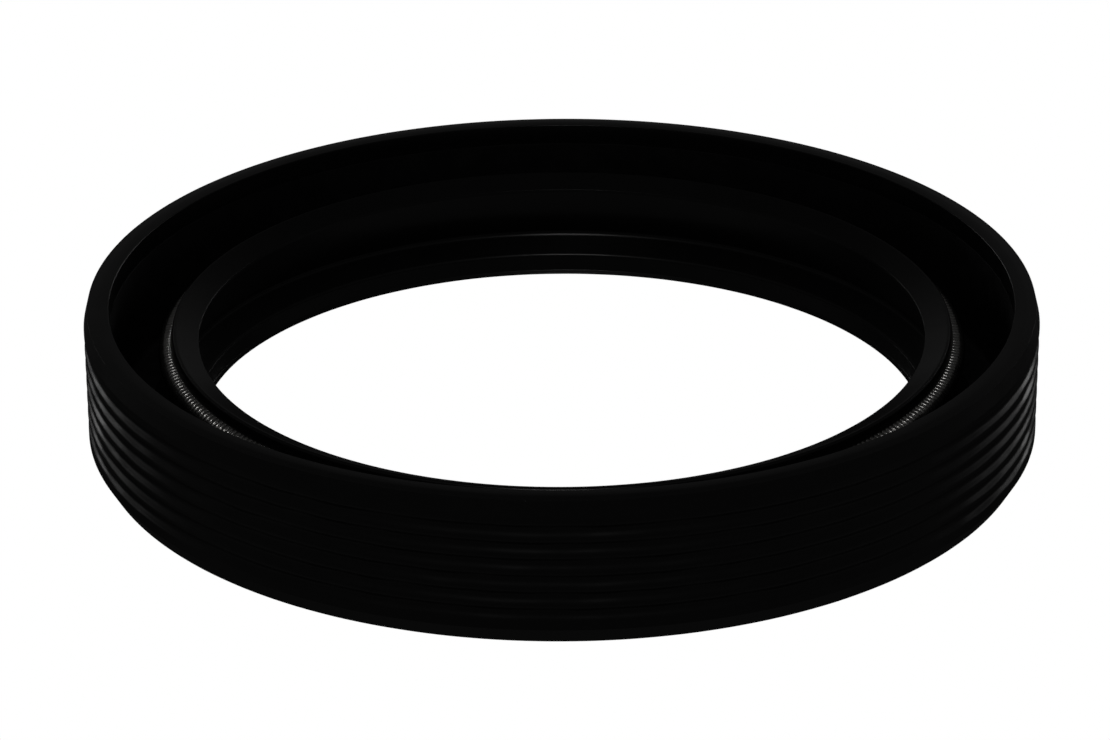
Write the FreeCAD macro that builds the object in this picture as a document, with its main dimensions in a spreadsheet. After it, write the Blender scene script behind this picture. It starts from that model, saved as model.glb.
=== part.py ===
import FreeCAD, Part
import math
import os

import Sketcher
from FreeCAD import Vector

# Radial shaft seal with a rubber covered, ribbed outside, a steel case and a garter spring.
# The axis is Z. The air side lies on Z = 0 and the oil side, with the spring, faces up.

SIZES = [
    ("shaft_diameter", 35.0, "shaft that the seal runs on"),
    ("section_depth", 5.0, "from the shaft to the housing bore, which the rib crests just fill"),
    ("seal_width", 7.0, "overall width along the axis"),
    ("rib_pitch", 0.8, "from one rib to the next"),
    ("rib_depth", 0.15, "from rib crest to valley"),
    ("rib_flank_angle", 30.0, "slope of a rib flank, in degrees from the axis"),
    ("valley_round", 0.2, "rounding at the bottom of a rib valley"),
    ("plain_rim_height", 1.4, "from the rim down to the middle of the top valley"),
    ("plain_base_height", 1.4, "least height from the air side up to the middle of the lowest valley"),
    ("lead_in_height", 0.8, "tapered band at the rim, which enters the housing first"),
    ("lead_in_taper", 0.19, "how far that band closes in towards the rim"),
    ("rim_outer_round", 0.05, "rounding of the rim's outer edge"),
    ("rim_inner_round", 0.12, "rounding of the rim's inner edge"),
    ("rim_cap_height", 1.0, "rubber above the top of the case"),
    ("base_chamfer_width", 0.48, "chamfer at the air side, across"),
    ("base_chamfer_height", 0.81, "chamfer at the air side, along the axis"),
    ("cover_thickness", 0.5, "rubber between the case and the rib crests"),
    ("base_skin", 0.35, "rubber under the case floor"),
    ("case_thickness", 0.7, "sheet of the pressed case"),
    ("case_bend", 0.3, "inside bend of the case"),
    ("base_bore_gap", 0.95, "from the shaft to the rubber base's hole on the air side"),
    ("bore_skin", 0.45, "rubber inside the hole of the case floor"),
    ("root_land", 0.8, "case floor under the membrane's foot, from its hole outwards"),
    ("foot_rise", 0.45, "height and width of the bevelled foot"),
    ("foot_round", 0.4, "rounding between the foot and the membrane"),
    ("waist_gap", 1.0, "from the shaft to the membrane's outside at its thinnest place"),
    ("waist_drop", 0.45, "from the lip head's lower edge down to the waist"),
    ("waist_round", 0.3, "rounding of the waist"),
    ("groove_floor", 0.1, "rubber of the lip head below the spring groove"),
    ("head_foot_reach", 0.33, "how far the lip head's lower edge stands out from the spring's centre line"),
    ("head_foot_round", 0.08, "rounding of that edge"),
    ("head_crown", 0.5, "rubber of the lip head above the spring groove"),
    ("head_top_gap", 0.85, "from the shaft to the lip head's top edge"),
    ("head_top_round", 0.12, "rounding of the top edge"),
    ("lip_squeeze", 0.35, "main lip's radial interference with the shaft"),
    ("lip_lead", 0.57, "how far the main lip's edge lies above the spring's centre line"),
    ("lip_land", 0.15, "length of the main lip's contact band"),
    ("hollow_gap", 0.7, "from the shaft to the root of the grease hollow between the lips"),
    ("hollow_height", 2.35, "height of the hollow's root"),
    ("hollow_round", 0.3, "rounding of the hollow's root"),
    ("dust_lip_squeeze", 0.35, "dust lip's radial interference with the shaft"),
    ("dust_lip_height", 0.55, "height of the dust lip's edge"),
    ("dust_lip_nose", 0.9, "length of the dust lip's nose above its edge"),
    ("dust_lip_nose_back", 0.18, "how far the nose leans back from the dust lip's edge"),
    ("dust_lip_blunt", 0.12, "blunt end of the dust lip below its edge"),
    ("dust_lip_round", 0.12, "rounding of the dust lip's nose"),
    ("recess_gap", 0.6, "from the shaft to the bottom of the recess behind the dust lip"),
    ("recess_height", 1.4, "depth of that recess from the air side"),
    ("recess_round", 0.15, "rounding of that recess"),
    ("spring_gap", 0.97, "from the shaft to the centre line of the garter spring"),
    ("spring_height", 4.55, "height of the garter spring's centre line"),
    ("spring_coil_diameter", 1.2, "outside of the spring's coil"),
    ("spring_wire", 0.3, "wire of the spring"),
    ("spring_clearance", 0.02, "between the coil and its groove"),
]

# Radii and heights that several corners share, as expressions on the sheet.
SHAFT_RADIUS = "Sizes.shaft_diameter / 2"
HOUSING_RADIUS = f"{SHAFT_RADIUS} + Sizes.section_depth"
CASE_RADIUS = f"{HOUSING_RADIUS} - Sizes.cover_thickness"
CASE_INSIDE = f"{CASE_RADIUS} - Sizes.case_thickness"
CASE_FLOOR = "Sizes.base_skin + Sizes.case_thickness"
CASE_TOP = "Sizes.seal_width - Sizes.rim_cap_height"
BASE_BORE = f"{SHAFT_RADIUS} + Sizes.base_bore_gap"
CASE_BORE = f"{BASE_BORE} + Sizes.bore_skin"
MEMBRANE_ROOT = f"{CASE_BORE} + Sizes.root_land"
SPRING_RADIUS = f"{SHAFT_RADIUS} + Sizes.spring_gap"
SPRING_HEIGHT = "Sizes.spring_height"
COIL_RADIUS = "Sizes.spring_coil_diameter / 2"
GROOVE_RADIUS = f"{COIL_RADIUS} + Sizes.spring_clearance"
HEAD_FOOT = f"{SPRING_HEIGHT} - ({GROOVE_RADIUS}) - Sizes.groove_floor"
HEAD_TOP = f"{SPRING_HEIGHT} + {GROOVE_RADIUS} + Sizes.head_crown"
LIP_RADIUS = f"{SHAFT_RADIUS} - Sizes.lip_squeeze"
LIP_HEIGHT = f"{SPRING_HEIGHT} + Sizes.lip_lead"
DUST_LIP_RADIUS = f"{SHAFT_RADIUS} - Sizes.dust_lip_squeeze"
DUST_LIP_HEIGHT = "Sizes.dust_lip_height"
TOP_VALLEY = "Sizes.seal_width - Sizes.plain_rim_height"
VALLEY_COUNT = f"floor(({TOP_VALLEY} - Sizes.plain_base_height) / Sizes.rib_pitch) + 1"
VALLEY_SPAN = f"({VALLEY_COUNT} - 1) * Sizes.rib_pitch"
LOWEST_VALLEY = f"{TOP_VALLEY} - {VALLEY_SPAN}"

# A corner is a name, its radius, its height and, where it is rounded, its rounding.
RUBBER_CORNERS = [
    ("base_edge", f"{HOUSING_RADIUS} - Sizes.base_chamfer_width", "0", None),
    ("chamfer_edge", HOUSING_RADIUS, "Sizes.base_chamfer_height", None),
    ("lead_in_start", HOUSING_RADIUS, "Sizes.seal_width - Sizes.lead_in_height", None),
    ("rim_outside", f"{HOUSING_RADIUS} - Sizes.lead_in_taper", "Sizes.seal_width", "Sizes.rim_outer_round"),
    ("rim_inside", CASE_INSIDE, "Sizes.seal_width", "Sizes.rim_inner_round"),
    ("floor_corner", CASE_INSIDE, CASE_FLOOR, None),
    ("foot", MEMBRANE_ROOT, CASE_FLOOR, None),
    ("foot_top", f"{MEMBRANE_ROOT} - Sizes.foot_rise", f"{CASE_FLOOR} + Sizes.foot_rise",
     "Sizes.foot_round"),
    ("waist", f"{SHAFT_RADIUS} + Sizes.waist_gap", f"{HEAD_FOOT} - Sizes.waist_drop", "Sizes.waist_round"),
    ("head_foot", f"{SPRING_RADIUS} + Sizes.head_foot_reach", HEAD_FOOT, "Sizes.head_foot_round"),
    ("head_top", f"{SHAFT_RADIUS} + Sizes.head_top_gap", HEAD_TOP, "Sizes.head_top_round"),
    ("lip_edge", LIP_RADIUS, LIP_HEIGHT, None),
    ("lip_land_end", LIP_RADIUS, f"{LIP_HEIGHT} - Sizes.lip_land", None),
    ("hollow", f"{SHAFT_RADIUS} + Sizes.hollow_gap", "Sizes.hollow_height", "Sizes.hollow_round"),
    ("dust_lip_nose", f"{DUST_LIP_RADIUS} + Sizes.dust_lip_nose_back",
     f"{DUST_LIP_HEIGHT} + Sizes.dust_lip_nose", "Sizes.dust_lip_round"),
    ("dust_lip_edge", DUST_LIP_RADIUS, DUST_LIP_HEIGHT, None),
    ("dust_lip_end", f"{DUST_LIP_RADIUS} + Sizes.dust_lip_blunt",
     f"{DUST_LIP_HEIGHT} - Sizes.dust_lip_blunt", None),
    ("recess", f"{SHAFT_RADIUS} + Sizes.recess_gap", "Sizes.recess_height", "Sizes.recess_round"),
    ("base_bore", BASE_BORE, "0", None),
]

CASE_CORNERS = [
    ("outer_bend", CASE_RADIUS, "Sizes.base_skin", "Sizes.case_bend + Sizes.case_thickness"),
    ("wall_top_outside", CASE_RADIUS, CASE_TOP, None),
    ("wall_top_inside", CASE_INSIDE, CASE_TOP, None),
    ("inner_bend", CASE_INSIDE, CASE_FLOOR, "Sizes.case_bend"),
    ("bore_top", CASE_BORE, CASE_FLOOR, None),
    ("bore_bottom", CASE_BORE, "Sizes.base_skin", None),
]

# The V of one valley reaches as far outside the crests as it cuts below them.
VALLEY_VERTEX = (
    f"{HOUSING_RADIUS} - Sizes.rib_depth"
    " - Sizes.valley_round * (1 / cos(Sizes.rib_flank_angle) - 1)"
)
VALLEY_MOUTH = f"{HOUSING_RADIUS} + Sizes.rib_depth"
VALLEY_HALF_WIDTH = f"({VALLEY_MOUTH} - ({VALLEY_VERTEX})) / tan(Sizes.rib_flank_angle)"

VALLEY_CORNERS = [
    ("valley_bottom", VALLEY_VERTEX, LOWEST_VALLEY, "Sizes.valley_round"),
    ("mouth_bottom", VALLEY_MOUTH, f"{LOWEST_VALLEY} - {VALLEY_HALF_WIDTH}", None),
    ("mouth_top", VALLEY_MOUTH, f"{LOWEST_VALLEY} + {VALLEY_HALF_WIDTH}", None),
]

# How a sketch numbers the points of its geometry, and its origin.
START = 1
END = 2
CENTRE = 3
ORIGIN = -1

UP = Vector(0, 0, 1)
FULL_TURN = 360.0


def fill_sheet(doc):
    """Puts every size in its own cell, under its own alias."""
    sheet = doc.addObject("Spreadsheet::Sheet", "Sizes")
    for row, (alias, value, meaning) in enumerate(SIZES, start=1):
        sheet.set(f"A{row}", alias)
        sheet.set(f"B{row}", str(value))
        sheet.setAlias(f"B{row}", alias)
        sheet.set(f"C{row}", meaning)
    doc.recompute()


def new_body(doc, label):
    """A body whose label names its file."""
    body = doc.addObject("PartDesign::Body", label)
    body.Label = label
    body.Placement = FreeCAD.Placement()
    return body


def section_sketch(body, name):
    """A sketch on the body's own XZ plane: across is the radius and up is the height."""
    plane = next(part for part in body.Origin.OriginFeatures if part.Role == "XZ_Plane")
    sketch = body.newObject("Sketcher::SketchObject", name)
    sketch.AttachmentSupport = (plane, [""])
    sketch.MapMode = "FlatFace"
    return sketch


def bind(sketch, kind, places, name, expression):
    """Adds a sized constraint with a name of its own and ties it to the sheet."""
    constraint = Sketcher.Constraint(kind, *places, sketch.evalExpression(expression))
    index = sketch.addConstraint(constraint)
    sketch.renameConstraint(index, name)
    sketch.setExpression(f"Constraints.{name}", expression)


def place_point(sketch, name, point, radius, height):
    """Holds one point of the sketch at a radius and a height from the sheet."""
    places = (ORIGIN, START, *point)
    bind(sketch, "DistanceX", places, f"{name}_radius", radius)
    bind(sketch, "DistanceY", places, f"{name}_height", height)


def corner_points(before, corner, after, rounding):
    """Where a rounded corner's arc begins and ends, and its centre."""
    towards_before = (before - corner).normalize()
    towards_after = (after - corner).normalize()
    half_angle = towards_before.getAngle(towards_after) / 2
    setback = rounding / math.tan(half_angle)
    middle = (towards_before + towards_after).normalize()
    centre = corner + middle * (rounding / math.sin(half_angle))
    return corner + towards_before * setback, corner + towards_after * setback, centre


def turns_left(before, corner, after):
    """Whether the outline turns left at a corner."""
    return (corner - before).cross(after - corner).z > 0


def round_arc(begin, finish, centre, left):
    """The arc of a rounded corner. Arcs run anticlockwise, so a right turn is drawn from its end."""
    first, last = (begin, finish) if left else (finish, begin)
    start_angle = math.atan2(first.y - centre.y, first.x - centre.x)
    end_angle = math.atan2(last.y - centre.y, last.x - centre.x)
    circle = Part.Circle(centre, UP, (begin - centre).Length)
    return Part.ArcOfCircle(circle, start_angle, end_angle)


def sheet_point(sketch, radius, height):
    """The point of the section at a radius and a height from the sheet."""
    return Vector(sketch.evalExpression(radius), sketch.evalExpression(height), 0)


def join_sharp(sketch, corner, arriving, leaving):
    """Joins two sides in a sharp corner and holds it in place."""
    name, radius, height, _ = corner
    sketch.addConstraint(Sketcher.Constraint("Coincident", arriving, END, leaving, START))
    place_point(sketch, name, (leaving, START), radius, height)


def join_round(sketch, corner, arriving, leaving, arc, left):
    """Joins two sides by an arc and holds the corner that they would meet in."""
    name, radius, height, rounding = corner
    vertex = sketch.addGeometry(Part.Point(sheet_point(sketch, radius, height)), True)
    place_point(sketch, name, (vertex, START), radius, height)
    for side in (arriving, leaving):
        sketch.addConstraint(Sketcher.Constraint("PointOnObject", vertex, START, side))
    drawn_arc = sketch.addGeometry(arc, False)
    first, last = (START, END) if left else (END, START)
    sketch.addConstraint(Sketcher.Constraint("Tangent", arriving, END, drawn_arc, first))
    sketch.addConstraint(Sketcher.Constraint("Tangent", leaving, START, drawn_arc, last))
    bind(sketch, "Radius", (drawn_arc,), f"{name}_rounding", rounding)


def draw_outline(sketch, corners):
    """A closed outline of straight sides through the corners, given anticlockwise."""
    count = len(corners)
    points = [sheet_point(sketch, radius, height) for _, radius, height, _ in corners]
    arrivals = list(points)
    departures = list(points)
    arcs = {}
    for i, (_, _, _, rounding) in enumerate(corners):
        if rounding:
            before, corner, after = points[i - 1], points[i], points[(i + 1) % count]
            size = sketch.evalExpression(rounding)
            arrivals[i], departures[i], centre = corner_points(before, corner, after, size)
            left = turns_left(before, corner, after)
            arcs[i] = (round_arc(arrivals[i], departures[i], centre, left), left)
    sides = []
    for i in range(count):
        side = Part.LineSegment(departures[i], arrivals[(i + 1) % count])
        sides.append(sketch.addGeometry(side, False))
    for i, corner in enumerate(corners):
        if i in arcs:
            join_round(sketch, corner, sides[i - 1], sides[i], *arcs[i])
        else:
            join_sharp(sketch, corner, sides[i - 1], sides[i])


def draw_coil_circle(sketch, name, radius):
    """A circle round the spring's centre line."""
    centre = sheet_point(sketch, SPRING_RADIUS, SPRING_HEIGHT)
    circle = sketch.addGeometry(Part.Circle(centre, UP, sketch.evalExpression(radius)), False)
    place_point(sketch, name, (circle, CENTRE), SPRING_RADIUS, SPRING_HEIGHT)
    bind(sketch, "Radius", (circle,), f"{name}_size", radius)


def turn(body, kind, name, sketch):
    """Revolves a section about the seal's axis, adding or cutting."""
    feature = body.newObject(kind, name)
    feature.Profile = sketch
    feature.ReferenceAxis = (sketch, ["V_Axis"])
    feature.Angle = FULL_TURN
    sketch.Visibility = False
    return feature


def cut_by_turning(doc, body, name, sketch):
    """Cuts a turned groove and makes sure that it took something away."""
    doc.recompute()
    volume_before = body.Shape.Volume
    groove = turn(body, "PartDesign::Groove", name, sketch)
    doc.recompute()
    if body.Shape.Volume >= volume_before:
        raise RuntimeError(f"{name} cut nothing")
    return groove


def make_seal_body(doc):
    """The moulded rubber: one turned section, less the case, the spring groove and the rib valleys."""
    body = new_body(doc, "seal_body")
    section = section_sketch(body, "rubber_section")
    draw_outline(section, RUBBER_CORNERS)
    turn(body, "PartDesign::Revolution", "rubber_ring", section)

    case_section = section_sketch(body, "case_pocket_section")
    draw_outline(case_section, CASE_CORNERS)
    cut_by_turning(doc, body, "case_pocket", case_section)

    groove_section = section_sketch(body, "spring_groove_section")
    draw_coil_circle(groove_section, "groove", GROOVE_RADIUS)
    cut_by_turning(doc, body, "spring_groove", groove_section)

    valley_section = section_sketch(body, "rib_valley_section")
    draw_outline(valley_section, VALLEY_CORNERS)
    valley = cut_by_turning(doc, body, "rib_valley", valley_section)

    one_valley_volume = body.Shape.Volume
    ribs = body.newObject("PartDesign::LinearPattern", "ribs")
    ribs.Originals = [valley]
    ribs.Direction = (valley_section, ["V_Axis"])
    ribs.setExpression("Length", VALLEY_SPAN)
    ribs.setExpression("Occurrences", VALLEY_COUNT)
    body.Tip = ribs
    doc.recompute()
    if body.Shape.Volume >= one_valley_volume:
        raise RuntimeError("the rib pattern cut nothing")
    return body


def make_case_ring(doc):
    """The pressed steel case, an L in section."""
    body = new_body(doc, "case_ring")
    section = section_sketch(body, "case_section")
    draw_outline(section, CASE_CORNERS)
    turn(body, "PartDesign::Revolution", "pressed_ring", section)
    return body


def make_garter_spring(doc):
    """The close-wound coil, closed into a ring: its outer form, hollow inside the wire."""
    body = new_body(doc, "garter_spring")
    section = section_sketch(body, "coil_section")
    draw_coil_circle(section, "coil", COIL_RADIUS)
    draw_coil_circle(section, "core", f"{COIL_RADIUS} - Sizes.spring_wire")
    turn(body, "PartDesign::Revolution", "coil_ring", section)
    return body


def check_model(doc, bodies):
    """Stops if a feature failed or a piece isn't one sound solid."""
    for item in doc.Objects:
        if "Invalid" in item.State or "Error" in item.State:
            raise RuntimeError(f"{item.Name} failed: {item.State}")
    for body in bodies:
        shape = body.Shape
        if shape.isNull() or not shape.isValid() or len(shape.Solids) != 1:
            raise RuntimeError(f"{body.Label} isn't one sound solid")


def main():
    doc = FreeCAD.newDocument("radial_shaft_seal")
    fill_sheet(doc)
    bodies = [make_seal_body(doc), make_case_ring(doc), make_garter_spring(doc)]
    doc.recompute()
    check_model(doc, bodies)
    os.makedirs("parts", exist_ok=True)
    for body in bodies:
        body.Shape.exportStep(f"parts/{body.Label}.step")
        box = body.Shape.optimalBoundingBox()
        print(f"{body.Label}: volume {body.Shape.Volume:.2f} mm3, radius {box.XMax:.3f}, "
              f"height {box.ZMin:.3f} to {box.ZMax:.3f}")


main()
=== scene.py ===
"""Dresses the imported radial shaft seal: moulded rubber, pressed case and garter spring, with its studio."""

import math

import bpy
from bpy.props import FloatProperty, FloatVectorProperty, IntProperty, PointerProperty
from mathutils import Matrix, Vector


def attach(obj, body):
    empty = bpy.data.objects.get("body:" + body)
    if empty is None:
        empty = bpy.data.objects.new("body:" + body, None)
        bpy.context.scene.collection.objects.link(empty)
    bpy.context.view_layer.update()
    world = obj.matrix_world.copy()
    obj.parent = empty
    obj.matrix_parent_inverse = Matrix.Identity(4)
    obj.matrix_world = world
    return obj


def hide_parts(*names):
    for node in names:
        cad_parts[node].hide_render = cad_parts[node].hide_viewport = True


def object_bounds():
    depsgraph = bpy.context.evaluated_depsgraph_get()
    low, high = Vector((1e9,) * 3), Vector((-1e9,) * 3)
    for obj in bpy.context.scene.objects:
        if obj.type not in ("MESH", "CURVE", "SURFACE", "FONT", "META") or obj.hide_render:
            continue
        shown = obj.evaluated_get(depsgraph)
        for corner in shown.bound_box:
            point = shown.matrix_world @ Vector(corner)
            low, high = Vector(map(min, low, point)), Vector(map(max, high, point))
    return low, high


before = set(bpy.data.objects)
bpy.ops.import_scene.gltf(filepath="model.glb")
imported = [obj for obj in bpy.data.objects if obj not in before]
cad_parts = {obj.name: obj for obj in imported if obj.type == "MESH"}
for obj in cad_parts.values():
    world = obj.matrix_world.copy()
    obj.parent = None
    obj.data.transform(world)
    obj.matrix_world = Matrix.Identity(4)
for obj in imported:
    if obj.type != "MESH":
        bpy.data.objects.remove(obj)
CAD_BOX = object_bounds()

bl_info = {
    "name": "Radial shaft seal",
    "version": (1, 0, 0),
    "blender": (4, 5, 0),
    "location": "3D View > Sidebar > Seal",
    "description": "Builds a rubber covered shaft seal with ribs, its garter spring and a studio",
    "category": "Object",
}

MM = 0.001
CAD_LOW, CAD_HIGH = CAD_BOX

# Steps along a section in millimetres, and the gap between a corner's arc and the next point.
COARSE_STEP = 1.0
WIDE_STEP = 0.4
FINE_STEP = 0.05
EDGE_GAP = 0.03

# Pieces of the arc at each corner of a section.
ARC_STEPS = 6

# The noise in the rubber: its seed, and the scales of the ribs' sway and of the skin's ripple, per metre.
NOISE_SEED = 3.0
SWAY_SCALE = 560.0
RIPPLE_SCALE = 520.0

# Types of node sockets.
GEOMETRY = "NodeSocketGeometry"
MATERIAL = "NodeSocketMaterial"
NUMBER = "NodeSocketFloat"
WHOLE = "NodeSocketInt"

WHITE = (1.0, 1.0, 1.0, 1.0)
PAPER_GREY = (0.8, 0.8, 0.8, 1.0)


def length(name, description, millimetres):
    """A size, given in millimetres and kept in metres."""
    return FloatProperty(name=name, description=description, default=millimetres * MM, min=0.0,
                         unit="LENGTH", precision=5)


def whole(name, description, default, least):
    """A whole number with its least value."""
    return IntProperty(name=name, description=description, default=default, min=least)


def paint(name, description, default):
    """A colour, in linear red, green and blue."""
    return FloatVectorProperty(name=name, description=description, subtype="COLOR", default=default,
                               min=0.0, max=1.0)


def power(name, description, watts):
    """The power of a light."""
    return FloatProperty(name=name, description=description, default=watts, min=0.0, unit="POWER")


def level(name, description, default):
    """The brightness of a surface that glows."""
    return FloatProperty(name=name, description=description, default=default, min=0.0)


class RubberSizes(bpy.types.PropertyGroup):
    """Sizes of the moulded rubber: its outside, its rim and its skin."""

    shaft_diameter: length("Shaft diameter", "Shaft that the seal runs on", 35.0)
    housing_diameter: length("Housing diameter", "Bore that the rib crests just fill",
                             (CAD_HIGH.x - CAD_LOW.x) / MM)
    seal_width: length("Width", "Overall width along the axis", (CAD_HIGH.z - CAD_LOW.z) / MM)
    rib_pitch: length("Rib pitch", "From one rib to the next", 0.8)
    rib_depth: length("Rib depth", "From rib crest to valley", 0.155)
    unevenness: length("Unevenness", "Height of the noise that sways the ribs up and down", 0.2)
    plain_rim_height: length("Plain rim", "From the rim down to the middle of the top valley", 1.4)
    plain_base_height: length("Plain base", "Least height from the air side to the lowest valley", 1.4)
    lead_in_height: length("Lead-in height", "Tapered band at the rim", 0.8)
    lead_in_taper: length("Lead-in taper", "How far that band closes in towards the rim", 0.19)
    rim_crown: length("Rim crown", "How far the rim falls towards its outer edge", 0.042)
    crown_outside: length("Crown outside", "From the rim's inner edge to where it falls outwards", 0.55)
    crown_inside: length("Crown inside", "From the rim's inner edge to where it falls inwards", 0.3)
    chamfer_width: length("Chamfer width", "Chamfer at the air side, across", 0.48)
    chamfer_height: length("Chamfer height", "Chamfer at the air side, along the axis", 0.81)
    cover_thickness: length("Cover", "Rubber between the case and the rib crests", 0.5)
    base_skin: length("Base skin", "Rubber under the case floor", 0.35)
    bore_skin: length("Bore skin", "Rubber inside the hole of the case floor", 0.45)
    rim_cap_height: length("Rim cap", "Rubber above the top of the case", 1.0)
    waviness: length("Waviness", "How far the moulded skin strays inwards from its true form", 0.012)
    segments: whole("Segments", "Steps round the ring", 280, 24)


class LipSizes(bpy.types.PropertyGroup):
    """Sizes of the flexible rubber: foot, membrane, lip head, main lip and dust lip."""

    root_land: length("Root land", "Case floor under the membrane's foot, from its hole outwards", 0.8)
    foot_rise: length("Foot rise", "Height and width of the bevelled foot", 0.45)
    waist_gap: length("Waist gap", "From the shaft to the membrane's outside at its thinnest place", 1.0)
    waist_drop: length("Waist drop", "From the lip head's lower edge down to the waist", 0.45)
    head_floor: length("Head floor", "Rubber of the lip head below the spring", 0.12)
    head_reach: length("Head reach", "From the spring's centre line out to the head's lower edge", 0.33)
    head_crown: length("Head crown", "Rubber of the lip head above the spring", 0.52)
    head_top_gap: length("Head top gap", "From the shaft to the head's top edge", 0.85)
    squeeze: length("Squeeze", "Radial interference of both lips with the shaft", 0.35)
    lip_lead: length("Lip lead", "From the spring's centre line up to the main lip's edge", 0.57)
    lip_land: length("Lip land", "Length of the main lip's contact band", 0.15)
    hollow_gap: length("Hollow gap", "From the shaft to the root of the hollow between the lips", 1.05)
    hollow_height: length("Hollow height", "Height of that root", 2.17)
    nose_top: length("Nose top", "Height at which the dust lip's nose begins", 1.45)
    nose_lean: length("Nose lean", "How far the nose leans back there from the dust lip's edge", 0.18)
    step_lean: length("Step lean", "How far the step above the dust lip's edge lies back from it", 0.14)
    step_rise: length("Step rise", "From the dust lip's edge up to that step", 0.13)
    dust_lip_height: length("Dust lip height", "Height of the dust lip's edge", 0.51)
    dust_lip_blunt: length("Dust lip blunt", "Blunt end of the dust lip below its edge", 0.12)
    recess_gap: length("Recess gap", "From the shaft to the bottom of the recess behind the dust lip", 0.6)
    recess_height: length("Recess height", "Depth of that recess from the air side", 1.4)


class CaseSizes(bpy.types.PropertyGroup):
    """Sizes of the pressed steel case."""

    sheet: length("Sheet", "Thickness of the pressed sheet", 0.7)
    bend: length("Bend", "Inside radius of the bend", 0.3)
    bore_diameter: length("Bore", "Hole in the case floor", 37.8)


class SpringSizes(bpy.types.PropertyGroup):
    """Sizes of the garter spring."""

    ring_diameter: length("Ring diameter", "Centre line of the closed ring", 36.94)
    height: length("Height", "Height of the centre line", 4.55)
    coil_diameter: length("Coil diameter", "Outside of the coil", 1.2)
    wire: length("Wire", "Diameter of the wire", 0.3)
    steps_per_turn: whole("Steps per turn", "Points on one turn", 12, 6)
    wire_sides: whole("Wire sides", "Sides of the wire's section", 6, 3)


class Finishes(bpy.types.PropertyGroup):
    """Colours of the three materials."""

    rubber: paint("Rubber", "Colour of the moulded rubber", (0.005, 0.005, 0.0052))
    case_steel: paint("Case steel", "Colour of the phosphated case", (0.035, 0.035, 0.036))
    spring_steel: paint("Spring steel", "Colour of the drawn spring wire", (0.62, 0.61, 0.59))


class StudioSettings(bpy.types.PropertyGroup):
    """Power of the studio's lights, and the brightness of its room and paper."""

    side_light: power("Side lights", "Soft strips behind the seal, left and right", 0.145)
    outer_light: power("Outer lights", "Dimmer strips beside them", 0.0095)
    far_light: power("Far lights", "Faint strips at the seal's own sides", 0.0034)
    camera_light: power("Camera light", "Small light above the camera", 0.088)
    right_light: power("Right light", "Low light at the back right", 0.07)
    room: level("Room", "Brightness of the dark room round the paper", 0.037)
    ceiling: level("Ceiling", "Brightness of the room overhead", 0.012)
    paper: level("Paper", "Brightness of the white paper", 1.0)


class SealSettings(bpy.types.PropertyGroup):
    """Everything that a user would change."""

    rubber: PointerProperty(type=RubberSizes)
    lips: PointerProperty(type=LipSizes)
    case: PointerProperty(type=CaseSizes)
    spring: PointerProperty(type=SpringSizes)
    finishes: PointerProperty(type=Finishes)
    studio: PointerProperty(type=StudioSettings)


def seal_settings():
    """The sizes, colours and lights that the sidebar shows."""
    return bpy.context.scene.seal_settings


def rounded(radius, height, round_mm, step_mm=WIDE_STEP):
    """A corner of a section: its place in metres, its rounding and the step after it in millimetres."""
    return Vector((radius, height)), round_mm * MM, step_mm * MM


def arc_points(before, place, after, rounding):
    """The points of a rounded corner, from one side of it to the other."""
    towards_before = (before - place).normalized()
    towards_after = (after - place).normalized()
    half_angle = towards_before.angle(towards_after) / 2
    setback = rounding / math.tan(half_angle)
    middle = (towards_before + towards_after).normalized()
    centre = place + middle * (rounding / math.sin(half_angle))
    start = place + towards_before * setback - centre
    sweep = math.pi - 2 * half_angle
    left = (place - before).cross(after - place) > 0
    turn = sweep if left else -sweep
    return [centre + Matrix.Rotation(turn * i / ARC_STEPS, 2) @ start for i in range(ARC_STEPS + 1)]


def run_points(start, finish, step):
    """Points between two corners: one close to each, to keep the flat flat, and the rest a step apart."""
    span = (finish - start).length
    edge = min(EDGE_GAP * MM, span / 4)
    pieces = max(1, round((span - 2 * edge) / step))
    stops = [edge + (span - 2 * edge) * i / pieces for i in range(pieces + 1)]
    return [start.lerp(finish, stop / span) for stop in stops]


def section_points(corners):
    """The points of a closed section, anticlockwise, from its corners."""
    places = [place for place, _, _ in corners]
    count = len(corners)
    rounds = []
    for i, (place, rounding, _) in enumerate(corners):
        rounds.append(arc_points(places[i - 1], place, places[(i + 1) % count], rounding))
    points = []
    for i, (_, _, step) in enumerate(corners):
        points += rounds[i]
        points += run_points(rounds[i][-1], rounds[(i + 1) % count][0], step)
    return points


def lathe(name, points, segments):
    """A closed ring: the section turned about the Z axis, with its faces outwards."""
    turns = [2 * math.pi * j / segments for j in range(segments)]
    vertices = [(p.x * math.cos(t), p.x * math.sin(t), p.y) for p in points for t in turns]
    rows = len(points)
    faces = []
    for i in range(rows):
        row, above = i * segments, (i + 1) % rows * segments
        for j in range(segments):
            beside = (j + 1) % segments
            faces.append((row + j, row + beside, above + beside, above + j))
    mesh = bpy.data.meshes.new(name)
    mesh.from_pydata(vertices, [], faces)
    mesh.validate()
    mesh.shade_smooth()
    piece = bpy.data.objects.new(name, mesh)
    bpy.context.scene.collection.objects.link(piece)
    return piece


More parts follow.
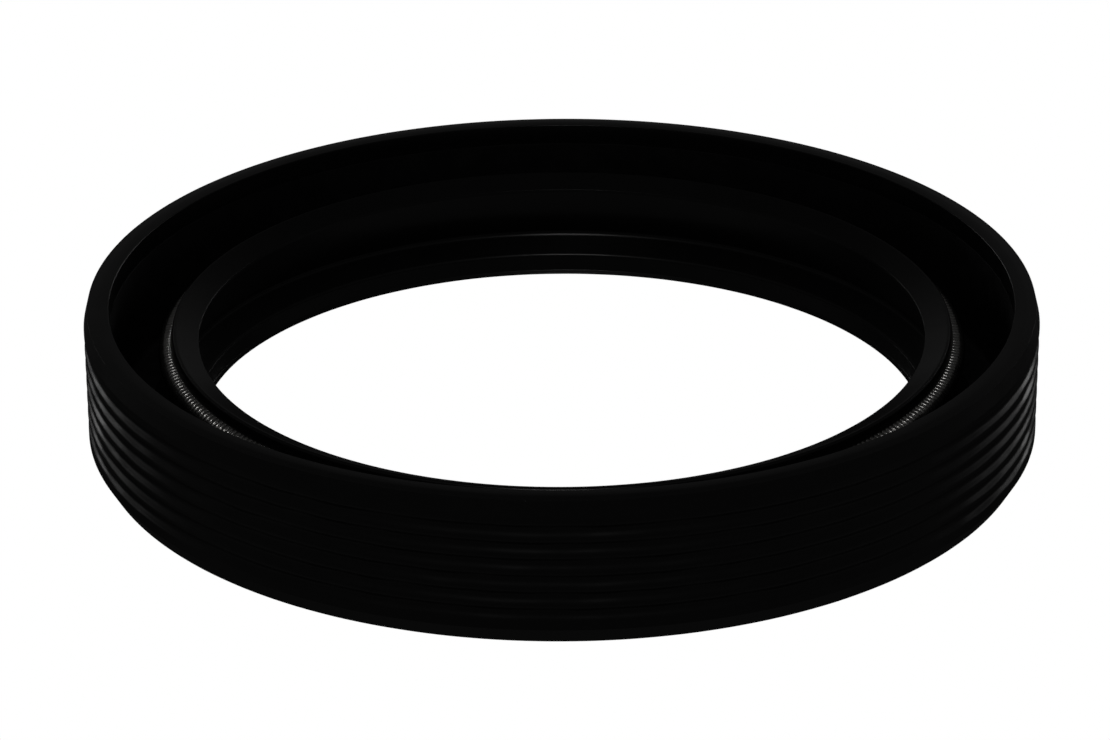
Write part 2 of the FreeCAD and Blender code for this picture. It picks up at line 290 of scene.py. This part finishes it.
def rubber_corners(rubber, lips, case, spring):
    """The corners of the rubber's section, anticlockwise from the outer edge of the air side."""
    shaft = rubber.shaft_diameter / 2
    crest = rubber.housing_diameter / 2
    rim = rubber.seal_width
    inside = crest - rubber.cover_thickness - case.sheet
    floor = rubber.base_skin + case.sheet
    bore = case.bore_diameter / 2
    root = bore + lips.root_land
    coil = spring.coil_diameter / 2
    ring = spring.ring_diameter / 2
    head_foot = spring.height - coil - lips.head_floor
    head_top = spring.height + coil + lips.head_crown
    lip = shaft - lips.squeeze
    lip_height = spring.height + lips.lip_lead
    dust_lip = lips.dust_lip_height
    outside_corners = [
        rounded(crest - rubber.chamfer_width, 0.0, 0.08),
        rounded(crest, rubber.chamfer_height, 0.04, FINE_STEP),
        rounded(crest, rim - rubber.lead_in_height, 0.2),
    ]
    rim_corners = [
        rounded(crest - rubber.lead_in_taper, rim - rubber.rim_crown, 0.008),
        rounded(inside + rubber.crown_outside, rim, 2.2),
        rounded(inside + rubber.crown_inside, rim, 1.8),
        rounded(inside, rim - rubber.rim_crown / 4, 0.04),
    ]
    cavity_corners = [
        rounded(inside, floor, 0.1),
        rounded(root, floor, 0.1),
        rounded(root - lips.foot_rise, floor + lips.foot_rise, 0.4),
        rounded(shaft + lips.waist_gap, head_foot - lips.waist_drop, 0.3),
    ]
    head_corners = [
        rounded(ring + lips.head_reach, head_foot, 0.08),
        rounded(shaft + lips.head_top_gap, head_top, 0.15),
        rounded(lip, lip_height, 0.03, FINE_STEP),
        rounded(lip, lip_height - lips.lip_land, 0.03),
        rounded(shaft + lips.hollow_gap, lips.hollow_height, 0.2),
    ]
    dust_lip_corners = [
        rounded(lip + lips.nose_lean, lips.nose_top, 0.2),
        rounded(lip + lips.step_lean, dust_lip + lips.step_rise, 0.06, FINE_STEP),
        rounded(lip, dust_lip, 0.03, FINE_STEP),
        rounded(lip + lips.dust_lip_blunt, dust_lip - lips.dust_lip_blunt, 0.03),
        rounded(shaft + lips.recess_gap, lips.recess_height, 0.15),
        rounded(bore - rubber.bore_skin, 0.0, 0.08),
    ]
    return outside_corners + rim_corners + cavity_corners + head_corners + dust_lip_corners


def case_corners(rubber, case):
    """The corners of the case's section, anticlockwise from its bend."""
    outside = rubber.housing_diameter / 2 - rubber.cover_thickness
    inside = outside - case.sheet
    bore = case.bore_diameter / 2
    bottom = rubber.base_skin
    floor = bottom + case.sheet
    top = rubber.seal_width - rubber.rim_cap_height
    inner_bend = case.bend / MM
    outer_bend = inner_bend + case.sheet / MM
    edge_round = 0.05
    return [
        rounded(outside, bottom, outer_bend, COARSE_STEP),
        rounded(outside, top, edge_round, COARSE_STEP),
        rounded(inside, top, edge_round, COARSE_STEP),
        rounded(inside, floor, inner_bend, COARSE_STEP),
        rounded(bore, floor, edge_round, COARSE_STEP),
        rounded(bore, bottom, edge_round, COARSE_STEP),
    ]


class Graph:
    """Adds nodes to a tree and joins them, so that a formula reads as one line."""

    column_width = 40
    row_height = 160
    rows = 5

    def __init__(self, tree):
        self.tree = tree
        self.column = 0

    def add(self, kind, inputs=None, **settings):
        """A node with its settings, whose inputs are other sockets or plain values."""
        node = self.tree.nodes.new(kind)
        node.location = (self.column * self.column_width, -(self.column % self.rows) * self.row_height)
        self.column += 1
        for name, value in settings.items():
            setattr(node, name, value)
        for key, value in (inputs or {}).items():
            self.feed(node.inputs[key], value)
        return node

    def feed(self, socket, value):
        """Joins a socket to another, or sets its value."""
        if isinstance(value, bpy.types.NodeSocket):
            self.tree.links.new(value, socket)
        else:
            socket.default_value = value

    def calculate(self, operation, *values):
        """One step of arithmetic."""
        return self.add("ShaderNodeMath", dict(enumerate(values)), operation=operation).outputs[0]

    def remap(self, value, span, result=(0.0, 1.0)):
        """Carries a value from one span to another, and holds it at both ends."""
        inputs = {"Value": value, "From Min": span[0], "From Max": span[1],
                  "To Min": result[0], "To Max": result[1]}
        return self.add("ShaderNodeMapRange", inputs).outputs[0]

    def noise(self, place, scale, detail, roughness=0.5):
        """Smooth noise round a half, fixed to a place."""
        inputs = {"Vector": place, "Scale": scale, "Detail": detail, "Roughness": roughness}
        return self.add("ShaderNodeTexNoise", inputs).outputs[0]

    def seeded_noise(self, place, seed, scale):
        """Smooth noise round a half, fixed to a place, that another seed changes."""
        inputs = {"Vector": place, "W": seed, "Scale": scale, "Detail": 2.0}
        return self.add("ShaderNodeTexNoise", inputs, noise_dimensions="4D").outputs[0]

    def cylindrical(self, place):
        """The height of a place, its vector from the axis, and the length of that vector."""
        parts = self.add("ShaderNodeSeparateXYZ", {0: place}).outputs
        flat = self.add("ShaderNodeCombineXYZ", {0: parts["X"], 1: parts["Y"]}).outputs[0]
        radius = self.add("ShaderNodeVectorMath", {0: flat}, operation="LENGTH").outputs["Value"]
        return parts["Z"], flat, radius

    def scaled(self, vector, factor):
        """A vector times a number."""
        return self.add("ShaderNodeVectorMath", {0: vector, "Scale": factor}, operation="SCALE").outputs[0]

    def end_geometry(self, name, geometry, material):
        """Makes the geometry real, gives it its material and hands it out."""
        real = self.add("GeometryNodeRealizeInstances", {"Geometry": geometry}).outputs[0]
        dressed = self.add("GeometryNodeSetMaterial", {"Geometry": real, "Material": material}).outputs[0]
        self.add("NodeGroupOutput", {name: dressed})


def new_tree(name, kind, inputs, outputs):
    """A node tree with named sockets, with its graph and its inputs."""
    tree = bpy.data.node_groups.new(name, kind)
    for in_out, sockets in (("INPUT", inputs), ("OUTPUT", outputs)):
        for socket_name, socket_type in sockets.items():
            tree.interface.new_socket(socket_name, in_out=in_out, socket_type=socket_type)
    graph = Graph(tree)
    return tree, graph, graph.add("NodeGroupInput").outputs


def rib_tree():
    """Geometry nodes that press the valleys between the ribs into the wall, and make the skin wavy."""
    tree, graph, given = new_tree(
        "Moulded ribs", "GeometryNodeTree",
        {"Body": GEOMETRY, "Crest radius": NUMBER, "Rib pitch": NUMBER, "Rib depth": NUMBER,
         "Unevenness": NUMBER, "Top valley": NUMBER, "Lowest valley": NUMBER, "Waviness": NUMBER,
         "Seed": NUMBER, "Material": MATERIAL},
        {"Body": GEOMETRY})
    place = graph.add("GeometryNodeInputPosition").outputs[0]
    height, flat, radius = graph.cylindrical(place)
    outwards = graph.add("ShaderNodeVectorMath", {0: flat}, operation="NORMALIZE").outputs[0]

    wander = graph.seeded_noise(place, given["Seed"], SWAY_SCALE)
    sway = graph.calculate("MULTIPLY", graph.calculate("SUBTRACT", wander, 0.5), given["Unevenness"])
    swayed = graph.calculate("ADD", height, sway)
    from_lowest = graph.calculate("SUBTRACT", swayed, given["Lowest valley"])
    turns = graph.calculate("DIVIDE", from_lowest, given["Rib pitch"])
    wave = graph.calculate("COSINE", graph.calculate("MULTIPLY", turns, 2 * math.pi))
    share = graph.calculate("MULTIPLY", graph.calculate("ADD", wave, 1.0), 0.5)
    half_sway = graph.calculate("MULTIPLY", sway, 0.5)
    valley_depth = graph.calculate("ADD", given["Rib depth"], half_sway)
    cut = graph.calculate("MULTIPLY", share, valley_depth)
    cut_radius = graph.calculate("SUBTRACT", given["Crest radius"], cut)
    new_radius = graph.calculate("MINIMUM", radius, cut_radius)
    change = graph.calculate("SUBTRACT", new_radius, radius)

    skin_depth = graph.calculate("MULTIPLY", given["Rib depth"], 2.0)
    skin_radius = graph.calculate("SUBTRACT", given["Crest radius"], skin_depth)
    half_pitch = graph.calculate("MULTIPLY", given["Rib pitch"], 0.5)
    bottom = graph.calculate("SUBTRACT", given["Lowest valley"], half_pitch)
    top = graph.calculate("ADD", given["Top valley"], half_pitch)
    on_skin = graph.calculate("GREATER_THAN", radius, skin_radius)
    over_bottom = graph.calculate("GREATER_THAN", height, bottom)
    under_top = graph.calculate("LESS_THAN", height, top)
    ribbed_part = graph.calculate("MULTIPLY", graph.calculate("MULTIPLY", on_skin, over_bottom), under_top)
    press = graph.scaled(outwards, graph.calculate("MULTIPLY", change, ribbed_part))
    ribbed = graph.add("GeometryNodeSetPosition", {"Geometry": given["Body"], "Offset": press}).outputs[0]

    ripple = graph.seeded_noise(place, given["Seed"], RIPPLE_SCALE)
    depth = graph.calculate("MULTIPLY", ripple, graph.calculate("MULTIPLY", given["Waviness"], -1.0))
    normal = graph.add("GeometryNodeInputNormal").outputs[0]
    sink = graph.scaled(normal, depth)
    wavy = graph.add("GeometryNodeSetPosition", {"Geometry": ribbed, "Offset": sink}).outputs[0]
    graph.end_geometry("Body", wavy, given["Material"])
    return tree


def spring_tree():
    """Geometry nodes that wind a wire into a coil and close the coil into a ring."""
    tree, graph, given = new_tree(
        "Closed coil spring", "GeometryNodeTree",
        {"Ring radius": NUMBER, "Height": NUMBER, "Coil radius": NUMBER, "Wire radius": NUMBER,
         "Turns": WHOLE, "Steps per turn": WHOLE, "Sides": WHOLE, "Material": MATERIAL},
        {"Spring": GEOMETRY})
    count = graph.calculate("MULTIPLY", given["Turns"], given["Steps per turn"])
    line = graph.add("GeometryNodeMeshLine", {"Count": count}).outputs[0]
    index = graph.add("GeometryNodeInputIndex").outputs[0]
    round_ring = graph.calculate("MULTIPLY", graph.calculate("DIVIDE", index, count), 2 * math.pi)
    turn = graph.calculate("DIVIDE", index, given["Steps per turn"])
    round_coil = graph.calculate("MULTIPLY", turn, 2 * math.pi)
    wire_line = graph.calculate("SUBTRACT", given["Coil radius"], given["Wire radius"])
    across = graph.calculate("MULTIPLY", graph.calculate("COSINE", round_coil), wire_line)
    reach = graph.calculate("ADD", given["Ring radius"], across)
    drop = graph.calculate("MULTIPLY", graph.calculate("SINE", round_coil), wire_line)
    x = graph.calculate("MULTIPLY", graph.calculate("COSINE", round_ring), reach)
    y = graph.calculate("MULTIPLY", graph.calculate("SINE", round_ring), reach)
    z = graph.calculate("SUBTRACT", given["Height"], drop)
    place = graph.add("ShaderNodeCombineXYZ", {0: x, 1: y, 2: z}).outputs[0]
    wound = graph.add("GeometryNodeSetPosition", {"Geometry": line, "Position": place}).outputs[0]
    curve = graph.add("GeometryNodeMeshToCurve", {"Mesh": wound}).outputs[0]
    closed = graph.add("GeometryNodeSetSplineCyclic", {"Geometry": curve, "Cyclic": True}).outputs[0]
    circle = graph.add("GeometryNodeCurvePrimitiveCircle",
                       {"Resolution": given["Sides"], "Radius": given["Wire radius"]}).outputs[0]
    wire = graph.add("GeometryNodeCurveToMesh", {"Curve": closed, "Profile Curve": circle}).outputs[0]
    smooth = graph.add("GeometryNodeSetShadeSmooth", {"Geometry": wire}).outputs[0]
    graph.end_geometry("Spring", smooth, given["Material"])
    return tree


def apply_tree(piece, tree, values):
    """Runs a geometry node tree on a piece with its named inputs, and keeps the plain mesh."""
    modifier = piece.modifiers.new(tree.name, "NODES")
    modifier.node_group = tree
    for item in tree.interface.items_tree:
        if item.name in values and item.in_out == "INPUT":
            modifier[item.identifier] = values[item.name]
    piece.update_tag()
    depsgraph = bpy.context.evaluated_depsgraph_get()
    mesh = bpy.data.meshes.new_from_object(piece.evaluated_get(depsgraph))
    piece.modifiers.remove(modifier)
    mesh.name = piece.name
    piece.data = mesh


def grain_group():
    """Fine moulded grain: a height and a patchy value, from the place on the piece."""
    tree, graph, given = new_tree("Fine grain", "ShaderNodeTree",
                                  {"Grain size": NUMBER, "Patch size": NUMBER},
                                  {"Height": NUMBER, "Patches": NUMBER})
    place = graph.add("ShaderNodeTexCoord").outputs["Object"]
    grain_scale = graph.calculate("DIVIDE", 1.0 / MM, given["Grain size"])
    patch_scale = graph.calculate("DIVIDE", 1.0 / MM, given["Patch size"])
    grain = graph.noise(place, grain_scale, detail=3.0, roughness=0.6)
    patches = graph.noise(place, patch_scale, detail=4.0, roughness=0.55)
    graph.add("NodeGroupOutput", {"Height": grain, "Patches": patches})
    return tree


def turned_group():
    """Rings left by turning, in the mould or on the sheet: they follow radius and height only."""
    tree, graph, given = new_tree("Turned rings", "ShaderNodeTree",
                                  {"Ring pitch": NUMBER}, {"Height": NUMBER})
    place = graph.add("ShaderNodeTexCoord").outputs["Object"]
    height, _, radius = graph.cylindrical(place)
    section = graph.add("ShaderNodeCombineXYZ", {0: radius, 1: height}).outputs[0]
    scale = graph.calculate("DIVIDE", 1.0 / MM, given["Ring pitch"])
    graph.add("NodeGroupOutput", {"Height": graph.noise(section, scale, detail=2.0)})
    return tree


def shared_group(name, builder):
    """The node group of that name, built the first time it is asked for."""
    return bpy.data.node_groups.get(name) or builder()


def new_material(name):
    """An empty node material and its graph."""
    material = bpy.data.materials.new(name)
    material.use_nodes = True
    material.node_tree.nodes.clear()
    return material, Graph(material.node_tree)


def surface_material(name, colour, shades, roughness, patch_size, grain, rings):
    """A material with patchy colour and roughness, and its shader.

    The grain has a size and a depth, and the rings have a pitch and a depth. All sizes are in millimetres.
    """
    patch_span = (0.3, 0.7)
    material, graph = new_material(name)
    shader = graph.add("ShaderNodeBsdfPrincipled")
    graph.add("ShaderNodeOutputMaterial", {"Surface": shader.outputs[0]})
    grain_size, grain_depth = grain
    ring_pitch, ring_depth = rings
    grain_node = graph.add("ShaderNodeGroup", {"Grain size": grain_size, "Patch size": patch_size},
                           node_tree=shared_group("Fine grain", grain_group))
    ring_node = graph.add("ShaderNodeGroup", {"Ring pitch": ring_pitch},
                          node_tree=shared_group("Turned rings", turned_group))
    patches = grain_node.outputs["Patches"]
    dark, light = ([channel * shade for channel in colour] + [1.0] for shade in shades)
    tint = graph.add("ShaderNodeMix", {0: patches, 6: dark, 7: light}, data_type="RGBA")
    graph.feed(shader.inputs["Base Color"], tint.outputs[2])
    graph.feed(shader.inputs["Roughness"], graph.remap(patches, patch_span, roughness))
    ring_bump = graph.add("ShaderNodeBump", {
        "Height": ring_node.outputs["Height"], "Distance": ring_depth * MM})
    grain_bump = graph.add("ShaderNodeBump", {
        "Height": grain_node.outputs["Height"], "Distance": grain_depth * MM,
        "Normal": ring_bump.outputs[0]})
    graph.feed(shader.inputs["Normal"], grain_bump.outputs[0])
    return material, shader


def rubber_material(colour):
    """Black moulded rubber, satin, with the mould's turning rings."""
    material, shader = surface_material(
        "Moulded black rubber", colour, shades=(0.8, 1.25), roughness=(0.3, 0.38), patch_size=2.5,
        grain=(0.09, 0.0012), rings=(0.12, 0.0006))
    shader.inputs["IOR"].default_value = 1.52
    shader.inputs["Specular IOR Level"].default_value = 0.4
    shader.inputs["Coat Weight"].default_value = 0.45
    shader.inputs["Coat Roughness"].default_value = 0.17
    return material


def case_material(colour):
    """Dark phosphated steel."""
    material, shader = surface_material(
        "Phosphated case steel", colour, shades=(0.7, 1.4), roughness=(0.45, 0.62), patch_size=1.2,
        grain=(0.06, 0.004), rings=(0.2, 0.002))
    shader.inputs["Metallic"].default_value = 0.7
    return material


def spring_material(colour):
    """Drawn spring wire, bright with a few duller patches."""
    material, shader = surface_material(
        "Drawn spring wire", colour, shades=(0.75, 1.1), roughness=(0.18, 0.28), patch_size=0.9,
        grain=(0.05, 0.001), rings=(0.15, 0.0005))
    shader.inputs["Metallic"].default_value = 1.0
    return material


class SEAL_OT_rubber_body(bpy.types.Operator):
    """Make the moulded rubber body with its ribs and lips"""

    bl_idname = "seal.rubber_body"
    bl_label = "Rubber body"

    def execute(self, context):
        settings = seal_settings()
        rubber = settings.rubber
        corners = rubber_corners(rubber, settings.lips, settings.case, settings.spring)
        body = lathe("rubber_body", section_points(corners), rubber.segments)
        top_valley = rubber.seal_width - rubber.plain_rim_height
        ribs = math.floor((top_valley - rubber.plain_base_height) / rubber.rib_pitch)
        apply_tree(body, rib_tree(), {
            "Crest radius": rubber.housing_diameter / 2,
            "Rib pitch": rubber.rib_pitch,
            "Rib depth": rubber.rib_depth,
            "Unevenness": rubber.unevenness,
            "Top valley": top_valley,
            "Lowest valley": top_valley - ribs * rubber.rib_pitch,
            "Waviness": rubber.waviness,
            "Seed": NOISE_SEED,
            "Material": rubber_material(settings.finishes.rubber),
        })
        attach(body, "root")
        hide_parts("seal_body")
        return {"FINISHED"}


class SEAL_OT_case_ring(bpy.types.Operator):
    """Make the pressed steel case, which shows only in the cavity"""

    bl_idname = "seal.case_ring"
    bl_label = "Case ring"

    def execute(self, context):
        settings = seal_settings()
        corners = case_corners(settings.rubber, settings.case)
        ring = lathe("pressed_case", section_points(corners), settings.rubber.segments)
        ring.data.materials.append(case_material(settings.finishes.case_steel))
        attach(ring, "root")
        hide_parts("case_ring")
        return {"FINISHED"}


class SEAL_OT_garter_spring(bpy.types.Operator):
    """Wind the garter spring and lay it in the lip head"""

    bl_idname = "seal.garter_spring"
    bl_label = "Garter spring"

    def execute(self, context):
        settings = seal_settings()
        spring = settings.spring
        mesh = bpy.data.meshes.new("coil_spring")
        coil = bpy.data.objects.new("coil_spring", mesh)
        context.scene.collection.objects.link(coil)
        apply_tree(coil, spring_tree(), {
            "Ring radius": spring.ring_diameter / 2,
            "Height": spring.height,
            "Coil radius": spring.coil_diameter / 2,
            "Wire radius": spring.wire / 2,
            "Turns": math.floor(math.pi * spring.ring_diameter / spring.wire),
            "Steps per turn": spring.steps_per_turn,
            "Sides": spring.wire_sides,
            "Material": spring_material(settings.finishes.spring_steel),
        })
        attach(coil, "root")
        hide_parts("garter_spring")
        return {"FINISHED"}


def paper_material(brightness):
    """White paper: plain white to the camera from above, clear from below, and dull to everything else."""
    material, graph = new_material("White paper")
    white = graph.add("ShaderNodeEmission", {"Strength": brightness}).outputs[0]
    dull = graph.add("ShaderNodeBsdfDiffuse", {"Color": PAPER_GREY}).outputs[0]
    clear = graph.add("ShaderNodeBsdfTransparent").outputs[0]
    seen = graph.add("ShaderNodeLightPath").outputs["Is Camera Ray"]
    below = graph.add("ShaderNodeNewGeometry").outputs["Backfacing"]
    above = graph.add("ShaderNodeMixShader", {0: seen, 1: dull, 2: white}).outputs[0]
    mixed = graph.add("ShaderNodeMixShader", {0: below, 1: above, 2: clear}).outputs[0]
    graph.add("ShaderNodeOutputMaterial", {"Surface": mixed})
    return material


def make_floor(brightness):
    """The paper that the seal stands on. It lights nothing."""
    half = 1.5
    drop = 0.01 * MM
    mesh = bpy.data.meshes.new("paper_floor")
    corners = [(-half, -half, -drop), (half, -half, -drop), (half, half, -drop), (-half, half, -drop)]
    mesh.from_pydata(corners, [], [(0, 1, 2, 3)])
    mesh.materials.append(paper_material(brightness))
    floor = bpy.data.objects.new("paper_floor", mesh)
    bpy.context.scene.collection.objects.link(floor)
    floor.visible_glossy = False
    floor.visible_diffuse = False


def make_world(brightness, room, ceiling):
    """White behind everything the camera sees, and a dark room in reflections, darkest overhead.

    The bands are where the room's brightness changes, by how far a direction rises or points backwards.
    """
    floor_band = (-0.25, 0.05)
    ceiling_band = (0.28, 0.55)
    back_band = (0.0, 0.5)
    floor_share = 0.2
    front_share = 0.7
    world = bpy.data.worlds.new("Studio")
    world.use_nodes = True
    world.node_tree.nodes.clear()
    graph = Graph(world.node_tree)
    white = graph.add("ShaderNodeBackground", {"Color": WHITE, "Strength": brightness}).outputs[0]
    towards = graph.add("ShaderNodeTexCoord").outputs["Generated"]
    parts = graph.add("ShaderNodeSeparateXYZ", {0: towards}).outputs
    low = graph.remap(parts["Z"], floor_band, (room * floor_share, room))
    high = graph.remap(parts["Z"], ceiling_band, (1.0, ceiling / room))
    behind = graph.calculate("MULTIPLY", low, high)
    backwards = graph.remap(parts["Y"], back_band)
    strength = graph.add("ShaderNodeMix", {0: backwards, 2: room * front_share, 3: behind}).outputs[0]
    dim = graph.add("ShaderNodeBackground", {"Color": WHITE, "Strength": strength}).outputs[0]
    seen = graph.add("ShaderNodeLightPath").outputs["Is Camera Ray"]
    mixed = graph.add("ShaderNodeMixShader", {0: seen, 1: dim, 2: white}).outputs[0]
    graph.add("ShaderNodeOutputWorld", {"Surface": mixed})
    bpy.context.scene.world = world


def make_light(name, watts, azimuth, elevation, width, height, distance=0.6):
    """A soft rectangular light that faces the seal, at an azimuth from +Y towards +X in degrees."""
    data = bpy.data.lights.new(name, "AREA")
    data.shape = "RECTANGLE"
    data.size = width
    data.size_y = height
    data.energy = watts
    light = bpy.data.objects.new(name, data)
    bpy.context.scene.collection.objects.link(light)
    across, up = math.radians(azimuth), math.radians(elevation)
    towards = Vector((math.sin(across) * math.cos(up), math.cos(across) * math.cos(up), math.sin(up)))
    light.location = towards * distance
    light.rotation_euler = towards.to_track_quat("Z", "Y").to_euler()
    light.visible_camera = False


def make_lights(studio):
    """Strips behind the seal on both sides, a small light above the camera and a low one at the back."""
    side_shift = -0.8
    right_surplus = 0.08
    for side in (-1, 1):
        make_light("Side light", studio.side_light * (1.0 + right_surplus * side),
                   azimuth=side * 36.5 + side_shift, elevation=3.5, width=0.26, height=0.18)
        make_light("Outer light", studio.outer_light,
                   azimuth=side * 55.2, elevation=0.5, width=0.137, height=0.115)
        make_light("Far light", studio.far_light,
                   azimuth=side * 69.0, elevation=0.5, width=0.125, height=0.115)
    make_light("Camera light", studio.camera_light,
               azimuth=184.0, elevation=54.0, width=0.14, height=0.035, distance=0.5)
    make_light("Right light", studio.right_light, azimuth=16.0, elevation=-6.0, width=0.14, height=0.07)


def make_camera():
    """The photograph's view: from the front, about 25 degrees above the floor."""
    data = bpy.data.cameras.new("Camera")
    data.sensor_width = 36.0
    data.lens = 147.93
    data.clip_start = 0.01
    data.clip_end = 10.0
    camera = bpy.data.objects.new("Camera", data)
    bpy.context.scene.collection.objects.link(camera)
    camera.location = Vector((0.0, -197.19, 93.243)) * MM
    aim = Vector((-0.325, 0.0, 2.903)) * MM
    roll = math.radians(-0.31)
    look = (aim - camera.location).to_track_quat("-Z", "Y").to_matrix()
    camera.rotation_euler = (look @ Matrix.Rotation(roll, 3, "Z")).to_euler()
    bpy.context.scene.camera = camera


class SEAL_OT_studio(bpy.types.Operator):
    """Lay the paper, hang the lights and place the camera"""

    bl_idname = "seal.studio"
    bl_label = "Studio"

    def execute(self, context):
        studio = seal_settings().studio
        context.scene.view_settings.view_transform = "Standard"
        make_world(studio.paper, studio.room, studio.ceiling)
        make_floor(studio.paper)
        make_lights(studio)
        make_camera()
        return {"FINISHED"}


class SEAL_PT_panel(bpy.types.Panel):
    """Sizes, finishes and the steps that build the seal"""

    bl_label = "Radial shaft seal"
    bl_idname = "SEAL_PT_panel"
    bl_space_type = "VIEW_3D"
    bl_region_type = "UI"
    bl_category = "Seal"

    def draw(self, context):
        settings = seal_settings()
        for title in settings.__annotations__:
            group = getattr(settings, title)
            box = self.layout.box()
            box.label(text=title.capitalize())
            for name in group.__annotations__:
                box.prop(group, name)
        for step in OPERATORS:
            self.layout.operator(step.bl_idname)


GROUPS = (RubberSizes, LipSizes, CaseSizes, SpringSizes, Finishes, StudioSettings, SealSettings)
OPERATORS = (SEAL_OT_rubber_body, SEAL_OT_case_ring, SEAL_OT_garter_spring, SEAL_OT_studio)
CLASSES = GROUPS + OPERATORS + (SEAL_PT_panel,)


def register():
    """Adds the classes, and the settings to the scene."""
    for item in CLASSES:
        bpy.utils.register_class(item)
    bpy.types.Scene.seal_settings = PointerProperty(type=SealSettings)


def unregister():
    """Takes the settings and the classes away again."""
    del bpy.types.Scene.seal_settings
    for item in reversed(CLASSES):
        bpy.utils.unregister_class(item)


def main():
    """Builds the pieces and the studio."""
    register()
    bpy.ops.seal.rubber_body()
    bpy.ops.seal.case_ring()
    bpy.ops.seal.garter_spring()
    bpy.ops.seal.studio()


if __name__ == "__main__":
    main()
